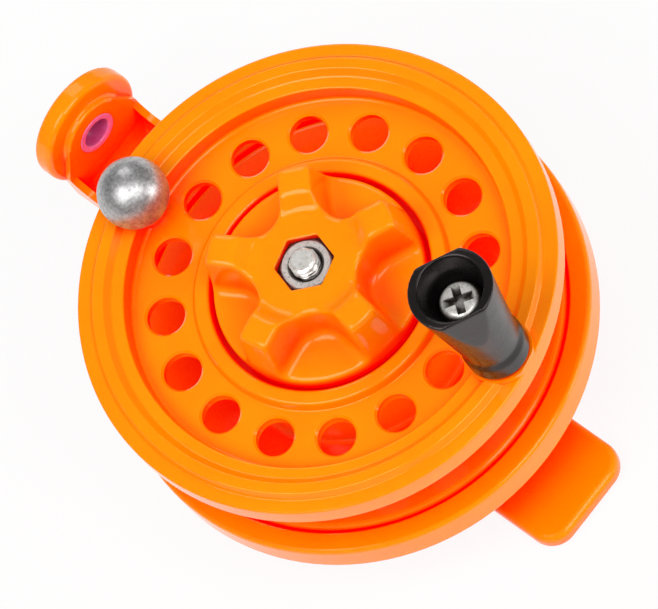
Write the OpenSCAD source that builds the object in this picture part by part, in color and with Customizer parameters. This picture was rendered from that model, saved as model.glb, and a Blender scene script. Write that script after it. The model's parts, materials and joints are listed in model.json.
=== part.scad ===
// Ice fishing reel: an open frame with a foot, a spool with a handle, and a star drag knob.
// The foot's back face is z = 0, the spool turns about the z axis and the nose points along +y.

/* [Reel] */
// Outer radius of the frame's rim and of the spool's front flange
reel_radius = 32.5; // [31.5:0.1:34]

/* [Foot] */
// Length of the foot along the rod
foot_length = 73; // [60:0.5:74]
// Width of the foot across the rod
foot_width = 15.8; // [15:0.1:20]
// Thickness of the foot
foot_thickness = 2.8; // [2.8:0.1:4]
// Corner radius of the foot seen from above
foot_corner = 3.5; // [2.5:0.1:6]
// Rounding of the foot's long edges
foot_edge_round = 0.9; // [0.5:0.05:1.35]

/* [Stem] */
// Length of the stem along the rod
stem_length = 36; // [24:0.5:44]
// Width of the stem across the rod
stem_width = 14; // [12:0.1:16]
// Height of the stem between foot and frame
stem_height = 10; // [8:0.1:11]
// Corner radius of the stem
stem_corner = 5; // [2:0.1:5.9]

/* [Frame] */
// Wall thickness of the rim
rim_wall = 2.9; // [1.8:0.1:2.9]
// Height of the rim over its back face
rim_height = 5.1; // [4:0.1:6]
// Thickness of the frame's back plate
plate_thickness = 2; // [1.6:0.1:2.4]
// Rounding of the rim's outer edges
rim_round = 0.6; // [0.2:0.05:0.8]

/* [Nose] */
// Distance from the rim to the nose disc's outer face
nose_length = 15; // [13:0.5:19]
// Radius of the standing nose disc
nose_disc_radius = 8.15; // [7:0.05:9]
// Thickness of the nose disc
nose_disc_thickness = 2.9; // [2:0.1:3.5]
// Radius of the boss round the eyelet
nose_boss_radius = 5.2; // [4.6:0.1:6]
// Height of that boss over the nose disc
nose_boss_height = 0.85; // [0.4:0.05:1.2]
// Outer width of the neck
neck_width = 14; // [12:0.1:15]
// Wall thickness of the neck
neck_wall = 1; // [0.8:0.1:1.5]
// Radius where the neck blends into the rim
neck_blend = 6; // [3:0.5:8]
// Radius where the neck's walls rise into the nose disc
neck_rise = 3.5; // [2.5:0.1:4]
// Radius of the scoop where the neck's floor rises to its end
neck_scoop = 2.5; // [1:0.1:3]
// Bottom corner radius of the neck, outside
neck_corner = 1.5; // [1:0.1:4]
// Corner radius of the neck's floor, inside
neck_floor_corner = 2.4; // [0.5:0.1:2.6]

/* [Eyelet] */
// Outer radius of the eyelet's tube
eyelet_radius = 3; // [2.6:0.05:3.4]
// Radius of the line hole
eyelet_bore = 2.12; // [1.6:0.02:2.3]
// Radius of the eyelet's lip on the nose disc's outer face
eyelet_lip_radius = 3.8; // [3.6:0.1:4.6]
// Thickness of that lip
eyelet_lip = 0.5; // [0.3:0.05:0.9]
// How far the tube stands out of the boss
eyelet_proud = 0.15; // [0.05:0.05:0.4]

/* [Axle] */
// Radius of the axle bolt
axle_radius = 2; // [1.8:0.05:2.1]
// Length of the bolt under its head
bolt_length = 36.5; // [36:0.1:37]
// Width of the bolt's head across its flats
bolt_head_width = 7; // [6:0.1:8]
// Height of the bolt's head
bolt_head_height = 2.8; // [2.2:0.1:2.8]
// Chamfer at the bolt's end
bolt_chamfer = 0.4; // [0.2:0.05:0.6]
// Thickness of the lock washer
lock_washer_thickness = 0.8; // [0.6:0.05:1]
// Outer radius of the lock washer
lock_washer_radius = 3.5; // [3.2:0.1:4.5]
// Height of the thin locknut
locknut_height = 2.2; // [1.8:0.1:2.4]
// Width of the locknut across its flats
locknut_width = 7; // [6.5:0.1:8]
// Thickness of the thrust washer behind the spool
axle_washer_thickness = 0.8; // [0.5:0.05:1]
// Outer radius of the thrust washer
axle_washer_radius = 4.5; // [4:0.1:6]

/* [Spool] */
// Height of the front flange's edge
flange_edge = 3.5; // [3:0.1:4.5]
// Width of the line groove between the flanges
line_gap = 12.1; // [10:0.1:14]
// Outer radius of the drum
drum_radius = 17; // [16.5:0.1:17.2]
// Wall thickness of the drum
drum_wall = 2; // [1.2:0.1:2.2]
// How much thicker the front flange is at the drum than at its edge
flange_taper = 1.2; // [0.4:0.1:1.6]
// Depth of the face's recess that holds the holes
face_recess = 2.8; // [2:0.1:3]
// Width of the face outside that recess
face_width = 6.3; // [5.9:0.1:6.8]
// Lean of the steps on the face
face_slope = 0.55; // [0.3:0.05:0.6]
// Distance of the raised ring from the flange's edge
ring_inset = 2.35; // [1.6:0.05:2.6]
// Width of the raised ring
ring_width = 1.45; // [1:0.05:1.6]
// Height of the raised ring
ring_height = 0.9; // [0.4:0.05:1.4]
// Number of holes in the face
hole_count = 16; // [8:1:18]
// Radius of each hole
hole_radius = 2.6; // [1.5:0.1:3]
// Bevel at the upper end of each hole
hole_round = 0.3; // [0.1:0.05:0.4]
// Radius of the circle of holes
hole_circle = 21.4; // [20.6:0.1:22]
// Height of the bead round the knob over the recess
bead_height = 1.1; // [0.5:0.05:1.6]
// Depth of the drag pocket under the face
pocket_depth = 6.5; // [6.3:0.1:7.5]
// Thickness of the web under the drag pocket
web_thickness = 2; // [1.5:0.1:3]
// Radius of the hub round the bush
hub_radius = 6.5; // [5:0.1:8]
// Thickness of the rear flange
rear_thickness = 1.9; // [1.4:0.1:2.2]
// Gap between the rear flange and the back plate
rear_gap = 1.2; // [0.6:0.1:2]
// How far the spool is turned at rest
spool_turn = 0.3; // [0:0.1:360]

/* [Bush] */
// Outer radius of the spool's bush
bush_radius = 3.2; // [2.8:0.1:4]
// How far the bush stands out of the hub
bush_proud = 0.15; // [0.1:0.05:0.4]

/* [Drag] */
// Thickness of the felt disc
felt_thickness = 1; // [0.6:0.1:1.4]
// Outer radius of the felt disc
felt_radius = 12; // [10:0.1:14]
// Thickness of the pressure washer
pressure_thickness = 0.5; // [0.4:0.05:0.8]
// Outer radius of the pressure washer
pressure_radius = 11; // [9:0.1:13]
// Mean radius of the spring
spring_radius = 5.2; // [5:0.05:5.4]
// Diameter of the spring's wire
spring_wire = 0.9; // [0.6:0.05:1]
// Height of the spring at rest
spring_height = 4.3; // [4:0.1:5]
// Number of curls in the spring
spring_curls = 2.25; // [2:0.25:2.25]
// Thickness of the cap on the spring
cap_thickness = 0.5; // [0.3:0.05:0.8]

/* [Knob] */
// Gap between the knob's edge and the drum's bore
knob_gap = 0.7; // [0.5:0.05:1.2]
// Thickness of the disc at its edge
knob_edge = 2.5; // [2:0.1:3]
// Depth of the spring's cavity under the knob
cavity_depth = 3.3; // [2.8:0.1:3.6]
// Thickness between the cavity and the nut's pocket
knob_roof = 1; // [0.8:0.1:1.6]
// Radius of the flat round the nut
plateau_radius = 7.4; // [6.4:0.1:8]
// Number of arms
arm_count = 5; // [4:1:6]
// Width of each arm at its top
arm_width = 4.4; // [3:0.1:6]
// Height of the arms over the flat
arm_rise = 1.8; // [1:0.1:3]
// Radius where each arm reaches its full height
arm_inner_radius = 9.3; // [8.6:0.1:10]
// Distance from each arm's top to the knob's edge
arm_inset = 1.3; // [0.9:0.1:2.5]
// Reach of the hollows towards the axis
hollow_reach = 7; // [6.6:0.1:8]
// How far each hollow's wall leans inwards at its foot
hollow_draft = 0.5; // [0.2:0.1:1]
// Rounding between each hollow's wall and its floor
hollow_fillet = 1.2; // [0.4:0.1:1.6]
// Rounding of the knob's edges
knob_round = 0.6; // [0.2:0.05:0.8]
// Turn of the first arm
knob_turn = 45.3; // [0:0.1:72]

/* [Knob nut] */
// Height of the nut in the knob
nut_height = 3.2; // [2.6:0.1:3.4]
// Width of the nut across its flats
nut_width = 7; // [6:0.1:8]
// Depth of the nut's top under the flat
nut_sink = 0.8; // [0.4:0.05:1]
// Turn of the nut against the arms
nut_turn = 30; // [0:1:60]
// Chamfer at the nut's upper corners
nut_chamfer = 0.45; // [0.2:0.05:0.6]
// Depth of the countersink at the nut's upper end
nut_countersink = 0.45; // [0.2:0.05:0.6]

/* [Handle] */
// Distance of the handle's axis from the flange's edge
handle_inset = 4.3; // [4.1:0.1:4.9]
// Angle of the handle on the spool
handle_angle = -78.75; // [-90:0.25:-60]
// Radius of the pad under the handle
handle_pad_radius = 4.5; // [4.2:0.1:5]
// Length of the handle's sleeve
sleeve_length = 15.7; // [15.2:0.1:16.2]
// Outer radius of the sleeve
sleeve_radius = 2.4; // [2.1:0.05:2.45]
// Thickness of the washer under the sleeve
handle_washer_thickness = 0.4; // [0.3:0.05:0.6]
// Radius of that washer
handle_washer_radius = 3.5; // [3:0.1:3.8]
// Radius of the screw's thread
screw_radius = 1.5; // [1.25:0.05:1.5]
// Length of the screw under its head
screw_length = 20; // [18.5:0.5:20]
// Radius of the screw's head
screw_head_radius = 2.8; // [2.7:0.05:2.9]
// Height of the screw's head
screw_head_height = 2; // [1.4:0.1:2.4]
// Rounding of the screw's head
screw_head_round = 1.2; // [0.6:0.1:1.3]

/* [Grip] */
// Length of the grip
grip_length = 21.35; // [20:0.1:24]
// Radius of the collar at the grip's lower end
grip_collar_radius = 4.3; // [4.2:0.05:4.6]
// Height of that collar
grip_collar_height = 2.8; // [2:0.1:6]
// Length of the slope from the collar to the waist
grip_collar_slope = 1.3; // [0.4:0.1:2]
// Radius of the grip over its collar, where it starts to widen
grip_base_radius = 4; // [3.7:0.05:4.15]
// Radius of the grip's upper end
grip_top_radius = 5.65; // [5:0.05:6.2]
// How late the grip widens towards its upper end
grip_flare_power = 1.08; // [1:0.02:2]
// Distance of the grip's two flats from its axis
grip_flat = 4.75; // [4.5:0.05:5.2]
// Radius of the hollow at the grip's upper end
grip_hollow_top = 4.4; // [3.6:0.05:4.45]
// Radius of the hollow at its floor
grip_hollow_floor = 3.2; // [3.1:0.05:3.4]
// Turn of the grip's flats
grip_turn = 61; // [0:0.1:360]

/* [Counterweight] */
// Radius of the ball
ball_radius = 4.7625; // [4.2:0.0125:5]
// Distance of the ball's centre from the flange's edge
ball_inset = 5.7; // [5.1:0.1:6.1]
// Angle of the ball on the spool
ball_angle = 101.25; // [90:0.25:115]
// Depth of the ball's seat under the raised ring
ball_seat_depth = 1.45; // [1:0.05:1.8]
// Radius of the cup under the ball
ball_pad_radius = 2.2; // [2:0.1:3]
// How far the ball's screw reaches into the ball
ball_screw_reach = 3.5; // [2:0.1:5]

/* [Clearances] */
// Gap between pieces that turn on each other
running_gap = 0.05; // [0.02:0.01:0.1]
// Gap round pieces that are fastened together
fixed_gap = 0.02; // [0.01:0.01:0.05]
// Gap between moving pieces that pass each other
free_gap = 0.4; // [0.3:0.05:0.6]
// Gap under the grip's lower end
grip_gap = 0.15; // [0.1:0.05:0.3]

/* [Hidden] */
$fn = 96;

// Overshoot of a cut past the face it opens
past = 1;
// How far a blend's curve bites into the faces it joins, so that it meets them at an angle
blend_bite = 0.06;
// Share of a wall's height that a corner in it may take
corner_share = 0.8;
// Share of a plate's thickness that the rounding of its edge takes
edge_share = 0.45;

// Levels of the frame
frame_back = foot_thickness + stem_height;
plate_top = frame_back + plate_thickness;
rim_top = frame_back + rim_height;
rim_inner = reel_radius - rim_wall;

// Levels of the pieces clamped on the bolt
lock_washer_top = plate_top + lock_washer_thickness;
locknut_top = lock_washer_top + locknut_height;
axle_washer_top = locknut_top + axle_washer_thickness;
bolt_end = bolt_head_height + bolt_length;

// Levels of the spool
rear_face = plate_top + rear_gap;
groove_back = rear_face + rear_thickness;
groove_front = groove_back + line_gap;
face = groove_front + flange_edge;
ring_top = face + ring_height;
recess_floor = face - face_recess;
bead_top = recess_floor + bead_height;
drag_floor = face - pocket_depth;
web_back = drag_floor - web_thickness;
drum_front = groove_front - flange_taper;
bush_back = axle_washer_top + running_gap;
hub_back = bush_back + bush_proud;
drum_inner = drum_radius - drum_wall;
rear_radius = rim_inner - free_gap;
bush_bore = axle_radius + running_gap;

// How deep a pad's root lies in the face
pad_root = face_recess / 8;

// Circles on the spool's face
ring_outer_radius = reel_radius - ring_inset;
ring_inner_radius = ring_outer_radius - ring_width;
face_recess_radius = reel_radius - face_width;
handle_circle = reel_radius - handle_inset;
ball_circle = reel_radius - ball_inset;

// Levels of the drag and the knob
felt_top = drag_floor + felt_thickness;
pressure_back = felt_top + running_gap;
pressure_top = pressure_back + pressure_thickness;
spring_top = pressure_top + spring_height;
cap_top = spring_top + cap_thickness;
cavity_top = cap_top + running_gap;
knob_back = cavity_top - cavity_depth;
knob_edge_top = knob_back + knob_edge;
nut_floor = cavity_top + knob_roof;
nut_top = nut_floor + nut_height;
plateau = nut_top + nut_sink;
arm_top = plateau + arm_rise;

// Radii of the knob
knob_radius = drum_inner - knob_gap;
arm_outer_radius = knob_radius - arm_inset;

// Radii round the spring
cap_radius = spring_radius + spring_wire;
cavity_radius = cap_radius + free_gap;
post_radius = spring_radius - spring_wire - free_gap;

// Round end of each hollow, which touches both of its arms
arm_half_angle = 180 / arm_count;
hollow_centre = (hollow_reach - arm_width / 2) / (1 - sin(arm_half_angle));
hollow_radius = hollow_centre - hollow_reach;
hollow_foot = hollow_radius - hollow_draft;
hollow_floor_round = min(hollow_fillet, hollow_foot / 2);

// Levels of the handle
handle_washer_top = ring_top + handle_washer_thickness;
sleeve_top = handle_washer_top + sleeve_length;
screw_tip = sleeve_top - screw_length;
grip_back = handle_washer_top + grip_gap;
grip_top = grip_back + grip_length;
grip_floor = sleeve_top - free_gap;
grip_collar_top = grip_back + grip_collar_height;
grip_waist = grip_collar_top + grip_collar_slope;

// Places of the ball and its screw
ball_bottom = ring_top - ball_seat_depth;
ball_centre = ball_bottom + ball_radius;
ball_screw_head = flange_back(ball_circle + screw_head_radius);
ball_screw_top = ball_bottom + ball_screw_reach;

// Places of the nose, whose axis runs through the middle of the line groove
nose_axis = (groove_back + groove_front) / 2;
nose_reach = reel_radius + nose_length;
disc_back = nose_reach - nose_disc_thickness;
boss_back = disc_back - nose_boss_height;

orange = "#ff7f0a";
steel = "#c9ccd0";

// Height of the front flange's back face at a radius
function flange_back(radius) =
    drum_front + flange_taper * (radius - drum_radius) / (reel_radius - drum_radius);

function unit(v) = v / norm(v);
function short_turn(d) = d > 180 ? d - 360 : (d < -180 ? d + 360 : d);

// Points of one rounded corner at b, between a and c
function corner(a, b, c, r, steps) =
    r <= 0 ? [b] :
    let (u = unit(a - b),
        v = unit(c - b),
        half = acos(u * v) / 2,
        centre = b + unit(u + v) * r / sin(half),
        from = b + u * r / tan(half) - centre,
        to = b + v * r / tan(half) - centre,
        start = atan2(from[1], from[0]),
        sweep = short_turn(atan2(to[1], to[0]) - start))
    [for (k = [0 : steps]) centre + r * [cos(start + sweep * k / steps), sin(start + sweep * k / steps)]];

// Outline through points [x, y, corner radius]
function rounded(p, steps = 4) =
    let (n = len(p), xy = [for (q = p) [q[0], q[1]]])
    [for (i = [0 : n - 1]) each corner(xy[(i + n - 1) % n], xy[i], xy[(i + 1) % n], p[i][2], steps)];

// Ring or tube standing on z
module ring(outer, inner, low, high) {
    translate([0, 0, low])
        difference() {
            cylinder(r = outer, h = high - low);
            translate([0, 0, -past])
                cylinder(r = inner, h = high - low + 2 * past);
        }
}

// Hexagonal prism given across its flats
module hexagon(width, low, high) {
    translate([0, 0, low])
        cylinder(r = width / 2 / cos(30), h = high - low, $fn = 6);
}

// Turns its children to a place on the spool's face
module on_spool(angle, circle) {
    rotate([0, 0, spool_turn + angle])
        translate([circle, 0, 0])
            children();
}

// Turns a shape made along +z to lie along +y at the nose's height
module along_nose() {
    translate([0, 0, nose_axis])
        rotate([-90, 0, 0])
            children();
}

// Half of the foot's edge, as a section that starts at the corner's centre
module foot_section() {
    polygon(rounded([
        [0, 0, 0],
        [foot_corner, 0, foot_edge_round],
        [foot_corner, foot_thickness, foot_edge_round],
        [0, foot_thickness, 0]]));
}

module foot() {
    half_x = foot_width / 2 - foot_corner;
    half_y = foot_length / 2 - foot_corner;
    translate([-half_x, -half_y, 0])
        cube([2 * half_x, 2 * half_y, foot_thickness]);
    for (side = [0, 180]) {
        rotate([0, 0, side])
            translate([half_x, half_y, 0])
                rotate([90, 0, 0])
                    linear_extrude(2 * half_y)
                        foot_section();
        rotate([0, 0, side + 90])
            translate([half_y, half_x, 0])
                rotate([90, 0, 0])
                    linear_extrude(2 * half_x)
                        foot_section();
        rotate([0, 0, side])
            translate([half_x, half_y, 0])
                rotate_extrude(angle = 90)
                    foot_section();
        rotate([0, 0, side + 90])
            translate([half_y, half_x, 0])
                rotate_extrude(angle = 90)
                    foot_section();
    }
}

module stem() {
    half_x = stem_width / 2;
    half_y = stem_length / 2;
    translate([0, 0, foot_thickness])
        linear_extrude(stem_height)
            polygon(rounded([
                [half_x, half_y, stem_corner],
                [-half_x, half_y, stem_corner],
                [-half_x, -half_y, stem_corner],
                [half_x, -half_y, stem_corner]], 6));
}

module dish() {
    rotate_extrude()
        polygon(rounded([
            [0, frame_back, 0],
            [reel_radius, frame_back, rim_round],
            [reel_radius, rim_top, rim_round],
            [rim_inner, rim_top, rim_round / 2],
            [rim_inner, plate_top, rim_round],
            [0, plate_top, 0]]));
}

// Open channel from the rim to the nose disc
module neck() {
    half = neck_width / 2;
    inner = half - neck_wall;
    inner_corner = min(neck_floor_corner, (rim_top - plate_top) * corner_share);
    start = rim_inner + rim_wall / 2;
    translate([0, disc_back + neck_wall, 0])
        rotate([90, 0, 0])
            linear_extrude(disc_back + neck_wall - start)
                polygon(rounded([
                    [-half, rim_top, neck_wall / 4],
                    [-half, frame_back, neck_corner],
                    [half, frame_back, neck_corner],
                    [half, rim_top, neck_wall / 4],
                    [inner, rim_top, neck_wall / 4],
                    [inner, plate_top, inner_corner],
                    [-inner, plate_top, inner_corner],
                    [-inner, rim_top, neck_wall / 4]]));
}

// Web that fills the corner between the neck's wall and the rim
module neck_web() {
    half = neck_width / 2;
    centre_x = half + neck_blend;
    centre_y = sqrt(pow(reel_radius + neck_blend, 2) - pow(centre_x, 2));
    share = reel_radius / (reel_radius + neck_blend);
    low = frame_back + neck_corner;
    translate([0, 0, low])
        linear_extrude(rim_top - low)
            difference() {
                polygon([
                    [half - neck_wall / 2, centre_y],
                    [centre_x, centre_y],
                    [centre_x * share, centre_y * share],
                    [half - neck_wall / 2, rim_inner + rim_wall / 4]]);
                translate([centre_x, centre_y])
                    circle(r = neck_blend + blend_bite);
                circle(r = rim_inner + rim_wall / 4);
            }
}

// Hollow curve by which a neck wall rises to the nose disc
module neck_riser() {
    half = neck_width / 2;
    translate([half, 0, 0])
        rotate([0, -90, 0])
            linear_extrude(neck_wall)
                difference() {
                    translate([rim_top - neck_wall, boss_back - neck_rise])
                        square([neck_wall + neck_rise, neck_rise + neck_wall]);
                    translate([rim_top + neck_rise, boss_back - neck_rise])
                        circle(r = neck_rise + blend_bite);
                }
}

// Wall that closes the neck under the boss, with shoulders that run up to touch the boss
module neck_end() {
    half = neck_width / 2;
    top = rim_top + neck_rise;
    drop = nose_axis - top;
    boss = nose_boss_radius - blend_bite;
    touch = acos(boss / norm([half, drop])) - atan2(drop, half);
    touch_x = boss * cos(touch);
    touch_z = nose_axis + boss * sin(touch);
    translate([0, disc_back + neck_wall, 0])
        rotate([90, 0, 0])
            linear_extrude(nose_boss_height + neck_wall)
                polygon(rounded([
                    [-touch_x, touch_z, 0],
                    [-half, top, neck_wall],
                    [-half, frame_back, neck_corner],
                    [half, frame_back, neck_corner],
                    [half, top, neck_wall],
                    [touch_x, touch_z, 0]]));
}

// Hollow curve by which the neck's floor rises to its end
module neck_floor_end() {
    half = (neck_width - neck_wall) / 2;
    low = plate_top - plate_thickness / 2;
    translate([half, 0, 0])
        rotate([0, -90, 0])
            linear_extrude(2 * half)
                difference() {
                    translate([low, boss_back - neck_scoop])
                        square([plate_top + neck_scoop - low, neck_scoop + neck_wall / 2]);
                    translate([plate_top + neck_scoop, boss_back - neck_scoop])
                        circle(r = neck_scoop + blend_bite);
                }
}

module nose_disc() {
    along_nose()
        rotate_extrude()
            polygon(rounded([
                [0, boss_back, 0],
                [nose_boss_radius, boss_back, nose_boss_height / 2],
                [nose_boss_radius, disc_back, nose_boss_height / 2],
                [nose_disc_radius, disc_back, nose_disc_thickness / 4],
                [nose_disc_radius, nose_reach, nose_disc_thickness / 4],
                [0, nose_reach, 0]]));
}

module frame() {
    color(orange)
        difference() {
            union() {
                foot();
                stem();
                dish();
                neck();
                for (side = [0, 1])
                    mirror([side, 0, 0]) {
                        neck_web();
                        neck_riser();
                    }
                neck_end();
                neck_floor_end();
                nose_disc();
            }
            hexagon(bolt_head_width + 2 * fixed_gap, -past, bolt_head_height);
            cylinder(r = axle_radius + fixed_gap, h = plate_top + past);
            along_nose()
                translate([0, 0, boss_back - past])
                    cylinder(r = eyelet_radius + fixed_gap, h = nose_reach - boss_back + 2 * past);
        }
}

module line_eyelet() {
    wall_round = (eyelet_radius - eyelet_bore) / 3;
    inner_end = boss_back - eyelet_proud;
    color("#f26a86")
        along_nose()
            rotate_extrude()
                polygon(rounded([
                    [eyelet_bore, inner_end, wall_round],
                    [eyelet_radius, inner_end, wall_round / 2],
                    [eyelet_radius, nose_reach, 0],
                    [eyelet_lip_radius, nose_reach, 0],
                    [eyelet_lip_radius, nose_reach + eyelet_lip, eyelet_lip / 2],
                    [eyelet_bore, nose_reach + eyelet_lip, wall_round]]));
}

module axle_bolt() {
    color(steel) {
        hexagon(bolt_head_width, 0, bolt_head_height);
        rotate_extrude()
            polygon([
                [0, bolt_head_height - past],
                [axle_radius, bolt_head_height - past],
                [axle_radius, bolt_end - bolt_chamfer],
                [axle_radius - bolt_chamfer, bolt_end],
                [0, bolt_end]]);
    }
}

module lock_washer() {
    color(steel)
        ring(lock_washer_radius, axle_radius + fixed_gap, plate_top, lock_washer_top);
}

module axle_locknut() {
    color(steel)
        difference() {
            hexagon(locknut_width, lock_washer_top, locknut_top);
            cylinder(r = axle_radius + fixed_gap, h = locknut_top + past);
        }
}

module axle_washer() {
    color(steel)
        ring(axle_washer_radius, axle_radius + fixed_gap, locknut_top, axle_washer_top);
}

// Turned shape of the spool, from the hub's bore out and round to the drag pocket
module spool_body() {
    edge_round = rear_thickness * edge_share;
    soft = face_slope / 2;
    bead_round = bead_height / 2;
    rotate_extrude()
        polygon(rounded([
            [bush_radius + fixed_gap, hub_back, 0],
            [hub_radius, hub_back, 0],
            [hub_radius, web_back, 0],
            [drum_inner, web_back, 0],
            [drum_inner, rear_face, 0],
            [rear_radius, rear_face, edge_round],
            [rear_radius, groove_back, edge_round],
            [drum_radius, groove_back, edge_round],
            [drum_radius, drum_front, edge_round],
            [reel_radius, groove_front, soft],
            [reel_radius, face, soft],
            [ring_outer_radius + face_slope, face, soft],
            [ring_outer_radius, ring_top, soft],
            [ring_inner_radius, ring_top, soft],
            [ring_inner_radius - ring_height, face, face_slope],
            [face_recess_radius, face, soft],
            [face_recess_radius - soft, recess_floor, face_slope],
            [drum_radius + face_slope, recess_floor, soft],
            [drum_radius, bead_top, bead_round],
            [drum_inner, bead_top, bead_round],
            [drum_inner, drag_floor, 0],
            [bush_radius + fixed_gap, drag_floor, 0]]));
}

// Pad on the face, level with the raised ring
module spool_pad(radius, angle, circle) {
    low = recess_floor - pad_root;
    intersection() {
        on_spool(angle, circle)
            translate([0, 0, low])
                cylinder(r = radius, h = ring_top - low);
        cylinder(r = reel_radius - fixed_gap, h = ring_top + past);
    }
}

module spool() {
    color(orange)
        difference() {
            union() {
                rotate([0, 0, spool_turn])
                    spool_body();
                spool_pad(handle_pad_radius, handle_angle, handle_circle);
                spool_pad(ball_pad_radius, ball_angle, ball_circle);
            }
            for (k = [1 : hole_count])
                on_spool(360 * k / hole_count, hole_circle) {
                    translate([0, 0, groove_back + past])
                        cylinder(r = hole_radius, h = recess_floor - groove_back);
                    translate([0, 0, recess_floor - hole_round])
                        cylinder(r1 = hole_radius, r2 = hole_radius + 2 * hole_round, h = 2 * hole_round);
                }
            on_spool(handle_angle, handle_circle)
                translate([0, 0, screw_tip])
                    cylinder(r = screw_radius + fixed_gap, h = ring_top - screw_tip + past);
            on_spool(ball_angle, ball_circle) {
                translate([0, 0, ball_centre])
                    sphere(r = ball_radius + fixed_gap);
                counterweight_screw_shape(fixed_gap);
                translate([0, 0, ball_screw_head - past])
                    cylinder(r = screw_head_radius + fixed_gap, h = past);
            }
        }
}

module spool_bush() {
    color("#d8b45a")
        ring(bush_radius, bush_bore, bush_back, drag_floor);
}

module brake_felt() {
    color("#5a5348")
        ring(felt_radius, bush_radius, drag_floor, felt_top);
}

module pressure_washer() {
    color(steel)
        ring(pressure_radius, axle_radius + free_gap, pressure_back, pressure_top);
}

// Points of the spring's wire, ring after ring
spring_segments = 8;
spring_rings = round(spring_curls * spring_segments);
spring_sides = 6;
spring_pitch = (spring_height - spring_wire) / spring_curls;
spring_points = [
    for (k = [0 : spring_rings])
        for (s = [0 : spring_sides - 1])
            let (turn = 360 * k / spring_segments,
                out = spring_radius + spring_wire / 2 * cos(90 + 360 * s / spring_sides),
                up = pressure_top + spring_wire / 2 + spring_pitch * k / spring_segments
                    + spring_wire / 2 * sin(90 + 360 * s / spring_sides))
            [out * cos(turn), out * sin(turn), up]];
spring_faces = [
    [for (s = [0 : spring_sides - 1]) spring_sides - 1 - s],
    [for (s = [0 : spring_sides - 1]) spring_rings * spring_sides + s],
    for (k = [0 : spring_rings - 1])
        for (s = [0 : spring_sides - 1])
            let (a = k * spring_sides + s, b = k * spring_sides + (s + 1) % spring_sides)
            each [[a, b, b + spring_sides], [a, b + spring_sides, a + spring_sides]]];

module drag_spring() {
    gaps = [
        for (k = [0 : spring_rings - spring_segments])
            for (a = [0 : spring_sides - 1], b = [0 : spring_sides - 1])
                let (upper = spring_points[(k + spring_segments) * spring_sides + a],
                    lower = spring_points[k * spring_sides + b])
                norm(upper - lower)];
    echo(least_spring_gap = min(gaps));
    color(steel)
        polyhedron(spring_points, spring_faces, convexity = 6);
}

module spring_cap() {
    color(steel)
        ring(cap_radius, post_radius + free_gap, spring_top, cap_top);
}

// Outline of one hollow between two arms, whose round end has the given radius
function hollow_outline(radius) =
    let (reach = 2 * knob_radius,
        steps = 10)
    [each [for (k = [0 : steps])
            let (turn = 90 + arm_half_angle + (180 - 2 * arm_half_angle) * k / steps)
            [hollow_centre + radius * cos(turn), radius * sin(turn)]],
        for (side = [-1, 1])
            [hollow_centre - radius * sin(arm_half_angle) + reach * cos(arm_half_angle),
                side * (radius * cos(arm_half_angle) + reach * sin(arm_half_angle))]];

// Hollow with leaning walls and a rounded floor
module hollow() {
    steps = 4;
    hull() {
        translate([0, 0, arm_top])
            linear_extrude(past)
                polygon(hollow_outline(hollow_radius));
        for (k = [0 : steps])
            translate([0, 0, knob_edge_top + hollow_floor_round * (1 - sin(90 * k / steps))])
                linear_extrude(fixed_gap)
                    polygon(hollow_outline(hollow_foot - hollow_floor_round * (1 - cos(90 * k / steps))));
    }
}

module star_knob() {
    color(orange)
        rotate([0, 0, knob_turn])
            difference() {
                rotate_extrude()
                    polygon(rounded([
                        [0, knob_back, 0],
                        [knob_radius, knob_back, knob_round / 2],
                        [knob_radius, knob_edge_top, knob_round],
                        [arm_outer_radius, arm_top, knob_round],
                        [arm_inner_radius, arm_top, knob_round],
                        [plateau_radius, plateau, knob_round],
                        [0, plateau, 0]]));
                for (k = [1 : arm_count])
                    rotate([0, 0, 360 * (k - 0.5) / arm_count])
                        hollow();
                ring(cavity_radius, post_radius, knob_back - past, cavity_top);
                rotate([0, 0, nut_turn])
                    hexagon(nut_width + 2 * fixed_gap, nut_floor, plateau + past);
                translate([0, 0, knob_back - past])
                    cylinder(r = axle_radius + free_gap, h = plateau - knob_back + 2 * past);
            }
}

module knob_nut() {
    flat = (nut_width - nut_chamfer) / 2;
    lean = nut_chamfer / (nut_width / 2 / cos(30) - flat);
    color(steel)
        rotate([0, 0, knob_turn + nut_turn])
            intersection() {
                hexagon(nut_width, nut_floor, nut_top);
                rotate_extrude()
                    polygon([
                        [bush_bore, nut_floor],
                        [nut_width, nut_floor],
                        [nut_width, nut_top - lean * (nut_width - flat)],
                        [flat, nut_top],
                        [bush_bore + nut_countersink, nut_top],
                        [bush_bore, nut_top - nut_countersink]]);
            }
}

module handle_screw() {
    color(steel)
        on_spool(handle_angle, handle_circle)
            rotate_extrude()
                polygon(rounded([
                    [0, screw_tip, 0],
                    [screw_radius, screw_tip, 0],
                    [screw_radius, sleeve_top, 0],
                    [screw_head_radius, sleeve_top, 0],
                    [screw_head_radius, sleeve_top + screw_head_height, screw_head_round],
                    [0, sleeve_top + screw_head_height, 0]], 6));
}

module handle_sleeve() {
    color("#d8b45a")
        on_spool(handle_angle, handle_circle)
            ring(sleeve_radius, screw_radius + fixed_gap, handle_washer_top, sleeve_top);
}

module handle_washer() {
    color(steel)
        on_spool(handle_angle, handle_circle)
            ring(handle_washer_radius, screw_radius + fixed_gap, ring_top, handle_washer_top);
}

// Radius of the grip at a share of its length over the waist
function grip_radius(share) =
    grip_base_radius + (grip_top_radius - grip_base_radius) * pow(share, grip_flare_power);

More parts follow.
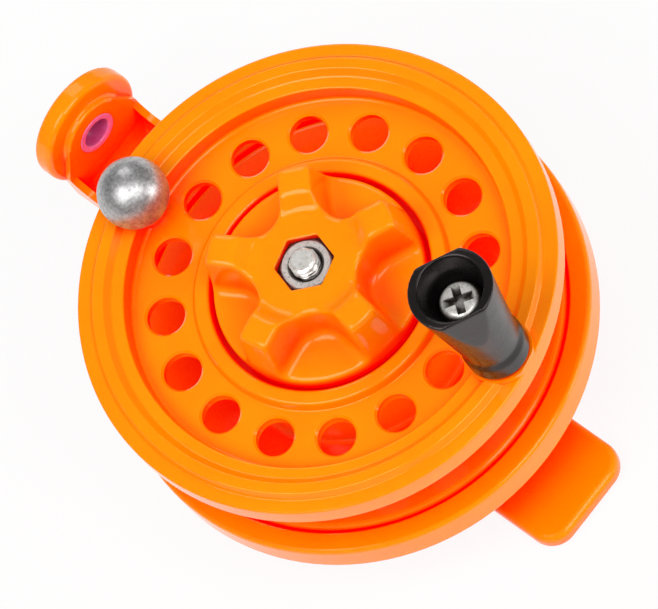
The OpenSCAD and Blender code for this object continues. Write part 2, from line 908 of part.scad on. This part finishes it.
module handle_grip() {
    steps = 12;
    cut = grip_top_radius;
    color("#1c1c1e")
        on_spool(handle_angle, handle_circle)
            difference() {
                rotate_extrude()
                    polygon([
                        [0, grip_back],
                        [grip_collar_radius, grip_back],
                        [grip_collar_radius, grip_collar_top],
                        for (k = [0 : steps])
                            [grip_radius(k / steps), grip_waist + (grip_top - grip_waist) * k / steps],
                        [0, grip_top]]);
                for (side = [0, 180])
                    rotate([0, 0, grip_turn - spool_turn - handle_angle + side])
                        translate([grip_flat, -cut, grip_back - past])
                            cube([cut, 2 * cut, grip_length + 2 * past]);
                translate([0, 0, grip_back - past])
                    cylinder(r = sleeve_radius + running_gap, h = grip_length);
                translate([0, 0, grip_floor])
                    cylinder(r1 = grip_hollow_floor, r2 = grip_hollow_top, h = grip_top - grip_floor);
                translate([0, 0, grip_top - fixed_gap])
                    cylinder(r = grip_hollow_top, h = past);
            }
}

// Countersunk screw with a given gap all round
module counterweight_screw_shape(gap) {
    rotate_extrude()
        polygon([
            [0, ball_screw_head],
            [screw_head_radius + gap, ball_screw_head],
            [screw_radius + gap, ball_screw_head + screw_head_radius - screw_radius],
            [screw_radius + gap, ball_screw_top + gap],
            [0, ball_screw_top + gap]]);
}

module counterweight_screw() {
    color(steel)
        on_spool(ball_angle, ball_circle)
            counterweight_screw_shape(0);
}

module counterweight_ball() {
    color("#b8bcc2")
        on_spool(ball_angle, ball_circle)
            difference() {
                translate([0, 0, ball_centre])
                    sphere(r = ball_radius);
                translate([0, 0, ball_bottom - past])
                    cylinder(r = screw_radius + fixed_gap, h = past + ball_screw_reach + fixed_gap);
            }
}

frame();
line_eyelet();
axle_bolt();
lock_washer();
axle_locknut();
axle_washer();
spool();
spool_bush();
brake_felt();
pressure_washer();
drag_spring();
spring_cap();
star_knob();
knob_nut();
handle_screw();
handle_sleeve();
handle_washer();
handle_grip();
counterweight_ball();
counterweight_screw();
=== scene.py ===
import json
import math
import bpy
import numpy as np
from mathutils import Matrix, Vector


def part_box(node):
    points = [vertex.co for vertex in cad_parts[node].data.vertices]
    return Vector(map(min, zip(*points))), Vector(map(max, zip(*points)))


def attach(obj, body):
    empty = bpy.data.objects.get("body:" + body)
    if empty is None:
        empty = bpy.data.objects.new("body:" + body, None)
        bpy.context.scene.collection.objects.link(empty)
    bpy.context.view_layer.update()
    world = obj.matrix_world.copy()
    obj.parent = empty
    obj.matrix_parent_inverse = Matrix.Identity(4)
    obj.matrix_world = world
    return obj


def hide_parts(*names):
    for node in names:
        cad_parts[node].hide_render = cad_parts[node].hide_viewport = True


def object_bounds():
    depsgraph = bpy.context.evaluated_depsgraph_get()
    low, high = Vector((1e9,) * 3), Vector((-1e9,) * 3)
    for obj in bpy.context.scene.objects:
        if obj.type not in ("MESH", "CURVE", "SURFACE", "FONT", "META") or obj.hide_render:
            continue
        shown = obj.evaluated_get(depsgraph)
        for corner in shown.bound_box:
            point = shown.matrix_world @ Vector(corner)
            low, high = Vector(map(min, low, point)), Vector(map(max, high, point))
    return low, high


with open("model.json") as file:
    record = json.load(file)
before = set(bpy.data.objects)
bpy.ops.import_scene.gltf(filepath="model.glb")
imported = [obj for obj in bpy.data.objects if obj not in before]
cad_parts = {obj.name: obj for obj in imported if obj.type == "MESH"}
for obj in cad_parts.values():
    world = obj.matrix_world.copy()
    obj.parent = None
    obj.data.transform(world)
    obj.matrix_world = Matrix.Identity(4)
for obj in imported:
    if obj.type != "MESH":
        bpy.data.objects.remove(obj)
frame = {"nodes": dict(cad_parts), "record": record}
cad_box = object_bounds()
nodes = frame["nodes"]
scene = bpy.context.scene
scene.view_settings.view_transform = "Standard"

MM = 0.001

# Camera that took the photograph, in the part's axes
CAMERA_PLACE = Vector((-104.02, -443.49, 895.55)) * MM
CAMERA_RIGHT = Vector((0.61544, -0.72931, -0.29890))
CAMERA_UP = Vector((0.78118, 0.51397, 0.35439))
CAMERA_LENS = 413.58
SENSOR_WIDTH = 36.0
CLIP_NEAR = 0.01
CLIP_FAR = 20.0

# Thread and head of the axle bolt, lengths in mm
BOLT_RADIUS = 2.0
BOLT_ROOT = 1.35
BOLT_PITCH = 0.7
BOLT_FLANK = 1.6
BOLT_TIP_RADIUS = 1.5
BOLT_THREAD_START = 33.0
BOLT_HEAD_FLATS = 7.0
BOLT_HEAD_HEIGHT = 2.8
BOLT_HEAD_EDGE = 0.25

# Screw in the handle and its cross recess, lengths in mm
SCREW_RADIUS = 1.5
SCREW_HEAD_RADIUS = 2.8
SCREW_HEAD_HEIGHT = 2.0
SCREW_HEAD_DOME = 0.9
SCREW_CROWN_SHARE = 0.55
CROSS_LENGTH = 4.1
CROSS_WIDTH = 1.15
CROSS_DEPTH = 1.5
CROSS_TURN = math.radians(53.5)
CROSS_OVERSHOOT = 0.2
CROSS_MOUTH_SHARE = 1.05
CROSS_FLOOR_SHARE = 0.6
CROSS_BAR_OFFSET = 0.003

# Sides of a turned shape, and the angle above which its edges stay sharp
ROUND_SEGMENTS = 48
HARD_EDGE_ANGLE = math.radians(35.0)

# Share of the way that one smoothing pass moves a point towards its neighbours
SMOOTHING = 0.5

# Sockets of a mix node that hold colours
MIX_COLOUR_A = 6
MIX_COLOUR_B = 7
MIX_COLOUR_RESULT = 2

# Sides of the soft boxes, seen from the object
KEY_SIDE = Vector((-0.483, -0.026, 0.877))
RIGHT_SIDE = Vector((0.59, -0.79, 0.16))
BACK_SIDE = Vector((0.45, 0.65, 0.62))
FRONT_SIDE = Vector((0.10, -0.50, 0.86))

# Distance of the soft boxes in metres, and the height in mm that they aim at
LAMP_DISTANCE = 0.8
LAMP_AIM_HEIGHT = 30.0


def add_camera():
    data = bpy.data.cameras.new("photo_camera")
    data.lens = CAMERA_LENS
    data.sensor_width = SENSOR_WIDTH
    data.sensor_fit = "HORIZONTAL"
    data.clip_start = CLIP_NEAR
    data.clip_end = CLIP_FAR
    camera = bpy.data.objects.new("photo_camera", data)
    right = CAMERA_RIGHT.normalized()
    back = right.cross(CAMERA_UP).normalized()
    up = back.cross(right)
    turn = Matrix((right, up, back)).transposed()
    camera.matrix_world = Matrix.Translation(CAMERA_PLACE) @ turn.to_4x4()
    scene.collection.objects.link(camera)
    scene.camera = camera


class Recipe:
    """A node material with short calls for adding and joining nodes."""

    def __init__(self, name):
        self.material = bpy.data.materials.new(name)
        self.material.use_nodes = True
        self.tree = self.material.node_tree
        self.shader = self.tree.nodes["Principled BSDF"]
        self.place = self.node("ShaderNodeTexCoord").outputs["Object"]

    def node(self, kind, **settings):
        made = self.tree.nodes.new(kind)
        for key, value in settings.items():
            setattr(made, key, value)
        return made

    def join(self, start, end):
        self.tree.links.new(start, end)

    def set(self, **values):
        for key, value in values.items():
            self.shader.inputs[key.replace("_", " ")].default_value = value

    def noise(self, size_mm, detail=4.0, roughness=0.55, stretch=(1.0, 1.0, 1.0)):
        mapping = self.node("ShaderNodeMapping")
        mapping.inputs["Scale"].default_value = [s / (size_mm * MM) for s in stretch]
        self.join(self.place, mapping.inputs["Vector"])
        noise = self.node("ShaderNodeTexNoise")
        noise.inputs["Scale"].default_value = 1.0
        noise.inputs["Detail"].default_value = detail
        noise.inputs["Roughness"].default_value = roughness
        self.join(mapping.outputs["Vector"], noise.inputs["Vector"])
        return noise.outputs["Fac"]

    def ramp(self, value, stops):
        ramp = self.node("ShaderNodeValToRGB")
        elements = ramp.color_ramp.elements
        while len(elements) < len(stops):
            elements.new(0.5)
        for element, (place, colour) in zip(elements, stops):
            element.position = place
            element.color = (*colour, 1.0)
        self.join(value, ramp.inputs["Fac"])
        return ramp.outputs["Color"]

    def span(self, value, low, high, start=0.3, end=0.7):
        spread = self.node("ShaderNodeMapRange")
        spread.inputs["From Min"].default_value = start
        spread.inputs["From Max"].default_value = end
        spread.inputs["To Min"].default_value = low
        spread.inputs["To Max"].default_value = high
        self.join(value, spread.inputs["Value"])
        return spread.outputs["Result"]

    def bump(self, heights):
        """Chains bumps given as (height, depth in mm, strength)."""
        normal = None
        for height, depth_mm, strength in heights:
            bump = self.node("ShaderNodeBump")
            bump.inputs["Strength"].default_value = strength
            bump.inputs["Distance"].default_value = depth_mm * MM
            self.join(height, bump.inputs["Height"])
            if normal:
                self.join(normal, bump.inputs["Normal"])
            normal = bump.outputs["Normal"]
        self.join(normal, self.shader.inputs["Normal"])

    def openness(self, reach_mm):
        """How open a surface lies, from 0 deep in a hollow to 1 on a free face."""
        open_share = self.node("ShaderNodeAmbientOcclusion", samples=8)
        open_share.inputs["Distance"].default_value = reach_mm * MM
        return open_share.outputs["AO"]

    def times(self, first, second):
        product = self.node("ShaderNodeMix", data_type="RGBA", blend_type="MULTIPLY")
        product.inputs["Factor"].default_value = 1.0
        self.join(first, product.inputs[MIX_COLOUR_A])
        self.join(second, product.inputs[MIX_COLOUR_B])
        return product.outputs[MIX_COLOUR_RESULT]

    def colour(self, colour):
        self.join(colour, self.shader.inputs["Base Color"])

    def rough(self, value):
        self.join(value, self.shader.inputs["Roughness"])


def orange_plastic():
    m = Recipe("orange_plastic")
    cloud = m.noise(9.0, detail=3.0)
    # Painted shade: the base colour runs from orange on open faces to deep red in hollows, holes and gaps, set
    # by how open the surface lies
    depth = m.ramp(m.openness(reach_mm=30.0), [
        (0.25, (1.0, 0.001, 0.0)), (0.34, (1.0, 0.012, 0.0)), (0.42, (1.0, 0.13, 0.0)),
        (0.52, (1.0, 0.25, 0.0)), (0.82, (1.0, 0.31, 0.0))])
    tint = m.ramp(cloud, [(0.3, (1.0, 0.95, 1.0)), (0.7, (1.0, 1.05, 1.0))])
    m.colour(m.times(depth, tint))
    m.rough(m.span(cloud, 0.09, 0.15))
    grain = m.noise(0.35, detail=3.0)
    swell = m.noise(4.0, detail=2.0)
    m.bump([(grain, 0.004, 0.3), (swell, 0.05, 0.2)])
    m.set(Subsurface_Weight=0.15, Subsurface_Radius=(0.002, 0.0003, 0.0001), Subsurface_Scale=1.0)
    m.set(Specular_Tint=(1.0, 0.75, 0.5, 1.0), IOR=1.5)
    # Painted glow: a constant red emission keeps the shaded parts of the plastic bright red
    m.set(Emission_Color=(1.0, 0.0, 0.0, 1.0), Emission_Strength=0.15)
    return m.material


def pink_ring():
    m = Recipe("pink_ring")
    cloud = m.noise(1.5, detail=3.0)
    # Painted shade: the pink turns dark in the bore and other hollows, set by how open the surface lies
    depth = m.ramp(m.openness(reach_mm=6.0), [(0.3, (0.5, 0.1, 0.4)), (0.65, (1.0, 1.0, 1.0))])
    m.colour(m.times(m.ramp(cloud, [(0.3, (0.86, 0.14, 0.36)), (0.7, (0.94, 0.22, 0.46))]), depth))
    m.rough(m.span(cloud, 0.12, 0.22))
    m.bump([(m.noise(0.3), 0.004, 0.3)])
    m.set(Subsurface_Weight=0.2, Subsurface_Radius=(0.0012, 0.0003, 0.0005), Subsurface_Scale=1.0)
    return m.material


def black_plastic():
    m = Recipe("black_plastic")
    cloud = m.noise(3.0, detail=5.0)
    m.colour(m.ramp(cloud, [(0.3, (0.005, 0.004, 0.004)), (0.7, (0.011, 0.009, 0.009))]))
    m.rough(m.span(cloud, 0.2, 0.32))
    m.bump([(m.noise(0.25), 0.004, 0.3), (m.noise(2.0), 0.03, 0.25)])
    m.set(IOR=1.45, Specular_Tint=(1.0, 0.86, 0.86, 1.0))
    return m.material


def steel(name, light, dark, smooth, coarse, size_mm):
    m = Recipe(name)
    cloud = m.noise(size_mm, detail=6.0, roughness=0.65)
    # Painted shade: the steel turns dark brown in grooves, recesses and gaps between parts, set by how open
    # the surface lies
    crevice_shade = m.ramp(m.openness(reach_mm=2.5), [(0.42, (0.05, 0.035, 0.025)), (0.6, (1.0, 1.0, 1.0))])
    m.colour(m.times(m.ramp(cloud, [(0.3, dark), (0.7, light)]), crevice_shade))
    m.rough(m.span(cloud, smooth, coarse))
    m.bump([(m.noise(size_mm / 4), 0.006, 0.3)])
    m.set(Metallic=0.4)
    return m.material


def ball_steel():
    m = Recipe("ball_steel")
    speckle = m.noise(0.45, detail=5.0, roughness=0.7)
    cloud = m.noise(4.0, detail=3.0)
    m.colour(m.ramp(speckle, [
        (0.36, (0.36, 0.35, 0.35)), (0.5, (0.53, 0.52, 0.52)), (0.66, (0.68, 0.68, 0.68))]))
    m.rough(m.span(cloud, 0.36, 0.44))
    m.bump([(speckle, 0.012, 0.3)])
    m.set(Metallic=0.9)
    return m.material


def brass():
    m = Recipe("bearing_brass")
    lines = m.noise(1.0, stretch=(1.0, 1.0, 8.0))
    m.colour(m.ramp(lines, [(0.3, (0.52, 0.36, 0.12)), (0.7, (0.72, 0.54, 0.22))]))
    m.rough(m.span(lines, 0.25, 0.4))
    m.set(Metallic=1.0)
    return m.material


def felt():
    m = Recipe("felt")
    fibre = m.noise(0.4, detail=8.0, roughness=0.7)
    m.colour(m.ramp(fibre, [(0.3, (0.06, 0.055, 0.045)), (0.7, (0.16, 0.14, 0.11))]))
    m.bump([(fibre, 0.15, 0.8)])
    m.set(Roughness=0.95)
    return m.material


def make_looks():
    return {
        "orange_plastic": orange_plastic(),
        "pink_ring": pink_ring(),
        "black_plastic": black_plastic(),
        "steel": steel(
            "steel", light=(0.90, 0.88, 0.84), dark=(0.66, 0.63, 0.58), smooth=0.24, coarse=0.36, size_mm=0.5),
        "ball_steel": ball_steel(),
        "bearing_brass": brass(),
        "felt": felt(),
    }


def slot_of(node_name):
    for part in frame["record"]["subparts"]:
        if part["node"] == node_name:
            return part["material_slot"]


def paint_nodes(looks):
    for node_name, node in nodes.items():
        node.data.materials.clear()
        node.data.materials.append(looks[slot_of(node_name)])


def stand_in(mesh, node_name, body, looks):
    """Puts a detailed piece in the place of a CAD node."""
    slot = slot_of(node_name)
    mesh.materials.clear()
    mesh.materials.append(looks[slot])
    mesh.polygons.foreach_set("use_smooth", [True] * len(mesh.polygons))
    piece = bpy.data.objects.new(node_name + "_detail", mesh)
    scene.collection.objects.link(piece)
    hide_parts(node_name)
    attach(piece, body)
    return piece


def finished_mesh(work):
    """The mesh of an object with its modifiers applied, and the object taken away."""
    graph = bpy.context.evaluated_depsgraph_get()
    mesh = bpy.data.meshes.new_from_object(work.evaluated_get(graph))
    bpy.data.objects.remove(work)
    return mesh


def softened(node_name, voxel_mm, passes, share):
    """An even mesh of a CAD node, whose edges are rounded where share gives 1 and kept where it gives 0."""
    work = bpy.data.objects.new("work", nodes[node_name].data.copy())
    scene.collection.objects.link(work)
    even = work.modifiers.new("even", "REMESH")
    even.mode = "VOXEL"
    even.voxel_size = voxel_mm * MM
    mesh = finished_mesh(work)
    count = len(mesh.vertices)
    flat = np.empty(count * 3)
    mesh.vertices.foreach_get("co", flat)
    points = flat.reshape(count, 3)
    ends = np.empty(len(mesh.edges) * 2, dtype=np.int32)
    mesh.edges.foreach_get("vertices", ends)
    first = ends[0::2]
    second = ends[1::2]
    near = np.bincount(ends, minlength=count)
    weight = SMOOTHING * share(points / MM)
    for _ in range(passes):
        middle = np.empty_like(points)
        for axis in range(3):
            total = np.bincount(first, points[second, axis], count)
            total += np.bincount(second, points[first, axis], count)
            middle[:, axis] = total / near
        points = points + weight[:, None] * (middle - points)
    mesh.vertices.foreach_set("co", points.ravel())
    mesh.update()
    return mesh


def add_knob(looks):
    pocket_radius = 4.4
    under_side = 30.6
    fade = 0.4

    def share(points):
        out = np.hypot(points[:, 0], points[:, 1])
        return np.clip((out - pocket_radius) / fade, 0, 1) * (points[:, 2] > under_side)

    mesh = softened("star_knob", voxel_mm=0.18, passes=44, share=share)
    stand_in(mesh, "star_knob", "knob", looks)


def add_grip(looks):
    low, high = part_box("handle_grip")
    centre_x = (low[0] + high[0]) / 2 / MM
    centre_y = (low[1] + high[1]) / 2 / MM
    bore_radius = 2.7
    fade = 0.3

    def share(points):
        out = np.hypot(points[:, 0] - centre_x, points[:, 1] - centre_y)
        return np.clip((out - bore_radius) / fade, 0, 1)

    mesh = softened("handle_grip", voxel_mm=0.16, passes=5, share=share)
    stand_in(mesh, "handle_grip", "grip", looks)


def lathe(rings, segments, radius_at):
    """Points and faces of a closed turned shape, whose rings have heights and radii in mm."""
    points = []
    faces = []
    for height in rings:
        for k in range(segments):
            turn = 2 * math.pi * k / segments
            radius = radius_at(height, k / segments)
            points.append((radius * math.cos(turn) * MM, radius * math.sin(turn) * MM, height * MM))
    for row in range(len(rings) - 1):
        for k in range(segments):
            after = (k + 1) % segments
            low = row * segments
            high = low + segments
            faces.append((low + k, low + after, high + after, high + k))
    faces.append(tuple(reversed(range(segments))))
    last = (len(rings) - 1) * segments
    faces.append(tuple(last + k for k in range(segments)))
    return points, faces


def add_bolt(looks):
    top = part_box("axle_bolt")[1][2] / MM
    steps_per_pitch = 8
    sunk = 0.5
    run_out = 0.01

    def radius_at(height, turn):
        if height < BOLT_THREAD_START:
            return BOLT_RADIUS
        phase = (height / BOLT_PITCH - turn) % 1.0
        wave = abs(2 * phase - 1)
        depth = max(0.0, BOLT_FLANK * wave - (BOLT_FLANK - 1))
        radius = BOLT_ROOT + (BOLT_RADIUS - BOLT_ROOT) * depth
        return min(radius, BOLT_TIP_RADIUS + (top - height))

    count = int((top - BOLT_THREAD_START) / BOLT_PITCH * steps_per_pitch)
    rings = [BOLT_HEAD_HEIGHT - sunk, BOLT_THREAD_START - run_out]
    rings += [BOLT_THREAD_START + (top - BOLT_THREAD_START) * k / count for k in range(count + 1)]
    points, faces = lathe(rings, ROUND_SEGMENTS, radius_at)
    corner = BOLT_HEAD_FLATS / 2 / math.cos(math.pi / 6)

    def hexagon_at(height, turn):
        return corner - BOLT_HEAD_EDGE if height in (0.0, BOLT_HEAD_HEIGHT) else corner

    head = [0.0, BOLT_HEAD_EDGE, BOLT_HEAD_HEIGHT - BOLT_HEAD_EDGE, BOLT_HEAD_HEIGHT]
    head_points, head_faces = lathe(head, 6, hexagon_at)
    start = len(points)
    faces += [tuple(start + k for k in face) for face in head_faces]
    mesh = bpy.data.meshes.new("axle_bolt_detail")
    mesh.from_pydata(points + head_points, [], faces)
    mesh.update()
    piece = stand_in(mesh, "axle_bolt", "frame", looks)
    split_hard_edges(piece)


def split_hard_edges(piece):
    edges = piece.modifiers.new("hard_edges", "EDGE_SPLIT")
    edges.split_angle = HARD_EDGE_ANGLE


def cross_cutter(place, top):
    """Tapered cross that cuts the recess into the screw's head."""
    points = []
    faces = []
    for side in (0.0, math.pi / 2):
        start = len(points)
        ends = ((top + CROSS_OVERSHOOT, CROSS_MOUTH_SHARE), (top - CROSS_DEPTH, CROSS_FLOOR_SHARE))
        for height, share in ends:
            for x, y in ((-1, -1), (1, -1), (1, 1), (-1, 1)):
                along = x * CROSS_LENGTH / 2 * share
                across = y * CROSS_WIDTH / 2 * (0.5 + share / 2)
                turn = CROSS_TURN + side
                points.append((
                    place[0] + (along * math.cos(turn) - across * math.sin(turn)) * MM,
                    place[1] + (along * math.sin(turn) + across * math.cos(turn)) * MM,
                    (height + CROSS_BAR_OFFSET * side) * MM))
        upper = [start + k for k in range(4)]
        lower = [start + 4 + k for k in range(4)]
        faces.append(tuple(upper))
        faces.append(tuple(reversed(lower)))
        for k in range(4):
            after = (k + 1) % 4
            faces.append((upper[k], lower[k], lower[after], upper[after]))
    mesh = bpy.data.meshes.new("cross")
    mesh.from_pydata(points, [], faces)
    cutter = bpy.data.objects.new("cross", mesh)
    scene.collection.objects.link(cutter)
    return cutter


def add_screw(looks):
    low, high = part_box("handle_screw")
    place = ((low[0] + high[0]) / 2, (low[1] + high[1]) / 2)
    tip = low[2] / MM
    top = high[2] / MM
    seat = top - SCREW_HEAD_HEIGHT
    shoulder = top - SCREW_HEAD_DOME
    dome_steps = 8
    hairline = 0.001
    head_edge = 0.3

    def radius_at(height, turn):
        if height < seat:
            return SCREW_RADIUS
        if height <= shoulder:
            return SCREW_HEAD_RADIUS
        rise = (height - shoulder) / SCREW_HEAD_DOME
        round_share = (1 - SCREW_CROWN_SHARE) * math.sqrt(max(0.0, 1 - rise * rise))
        return SCREW_HEAD_RADIUS * (SCREW_CROWN_SHARE + round_share)

    rings = [tip, seat - hairline, seat, seat + head_edge, shoulder]
    for k in range(1, dome_steps + 1):
        rings.append(shoulder + SCREW_HEAD_DOME * math.sin(math.pi / 2 * k / dome_steps))
    points, faces = lathe(rings, ROUND_SEGMENTS, radius_at)
    mesh = bpy.data.meshes.new("screw")
    mesh.from_pydata([(x + place[0], y + place[1], z) for x, y, z in points], [], faces)
    work = bpy.data.objects.new("screw", mesh)
    scene.collection.objects.link(work)
    cutter = cross_cutter(place, top)
    cut = work.modifiers.new("cross", "BOOLEAN")
    cut.operation = "DIFFERENCE"
    cut.solver = "EXACT"
    cut.use_self = True
    cut.object = cutter
    mesh = finished_mesh(work)
    bpy.data.objects.remove(cutter)
    piece = stand_in(mesh, "handle_screw", "spool", looks)
    split_hard_edges(piece)


def add_floor():
    size = 3.0
    gap_mm = 0.2
    white_share = 0.9
    below = cad_box[0][2] - gap_mm * MM
    mesh = bpy.data.meshes.new("floor")
    corners = [(-size, -size, below), (size, -size, below), (size, size, below), (-size, size, below)]
    mesh.from_pydata(corners, [], [(0, 1, 2, 3)])
    floor = bpy.data.objects.new("floor", mesh)
    scene.collection.objects.link(floor)
    m = Recipe("pale_floor")
    soft = m.noise(60.0, detail=2.0)
    m.colour(m.ramp(soft, [(0.3, (0.88, 0.88, 0.88)), (0.7, (0.92, 0.92, 0.92))]))
    m.set(Roughness=0.8)
    white = m.node("ShaderNodeEmission")
    white.inputs["Strength"].default_value = 1.0
    seen = m.node("ShaderNodeLightPath")
    sharp = m.node("ShaderNodeMath", operation="MAXIMUM")
    m.join(seen.outputs["Is Glossy Ray"], sharp.inputs[0])
    m.join(seen.outputs["Is Transmission Ray"], sharp.inputs[1])
    any_view = m.node("ShaderNodeMath", operation="MAXIMUM")
    m.join(seen.outputs["Is Camera Ray"], any_view.inputs[0])
    m.join(sharp.outputs["Value"], any_view.inputs[1])
    share = m.node("ShaderNodeMath", operation="MULTIPLY")
    share.inputs[1].default_value = white_share
    m.join(any_view.outputs["Value"], share.inputs[0])
    mixed = m.node("ShaderNodeMixShader")
    m.join(share.outputs["Value"], mixed.inputs["Fac"])
    m.join(m.shader.outputs["BSDF"], mixed.inputs[1])
    m.join(white.outputs["Emission"], mixed.inputs[2])
    m.join(mixed.outputs["Shader"], m.tree.nodes["Material Output"].inputs["Surface"])
    mesh.materials.append(m.material)


def add_soft_box(name, side, size, power):
    """A round lamp aimed at the object's middle, with its width in metres and its power in watts."""
    target = Vector((0.0, 0.0, LAMP_AIM_HEIGHT)) * MM
    place = target + side.normalized() * LAMP_DISTANCE
    data = bpy.data.lights.new(name, "AREA")
    data.shape = "DISK"
    data.size = size
    data.energy = power
    lamp = bpy.data.objects.new(name, data)
    lamp.location = place
    lamp.rotation_euler = (target - place).to_track_quat("-Z", "Y").to_euler()
    scene.collection.objects.link(lamp)


def add_light():
    world = bpy.data.worlds.new("studio")
    world.use_nodes = True
    sky = world.node_tree.nodes["Background"]
    sky.inputs["Color"].default_value = (1.0, 1.0, 1.0, 1.0)
    sky.inputs["Strength"].default_value = 0.2
    scene.world = world
    add_soft_box("key", KEY_SIDE, size=0.55, power=3.5)
    add_soft_box("front", FRONT_SIDE, size=0.5, power=2.5)
    add_soft_box("right", RIGHT_SIDE, size=0.4, power=1.9)
    add_soft_box("back", BACK_SIDE, size=0.4, power=0.8)


def main():
    add_camera()
    looks = make_looks()
    paint_nodes(looks)
    add_knob(looks)
    add_grip(looks)
    add_bolt(looks)
    add_screw(looks)
    add_floor()
    add_light()


main()
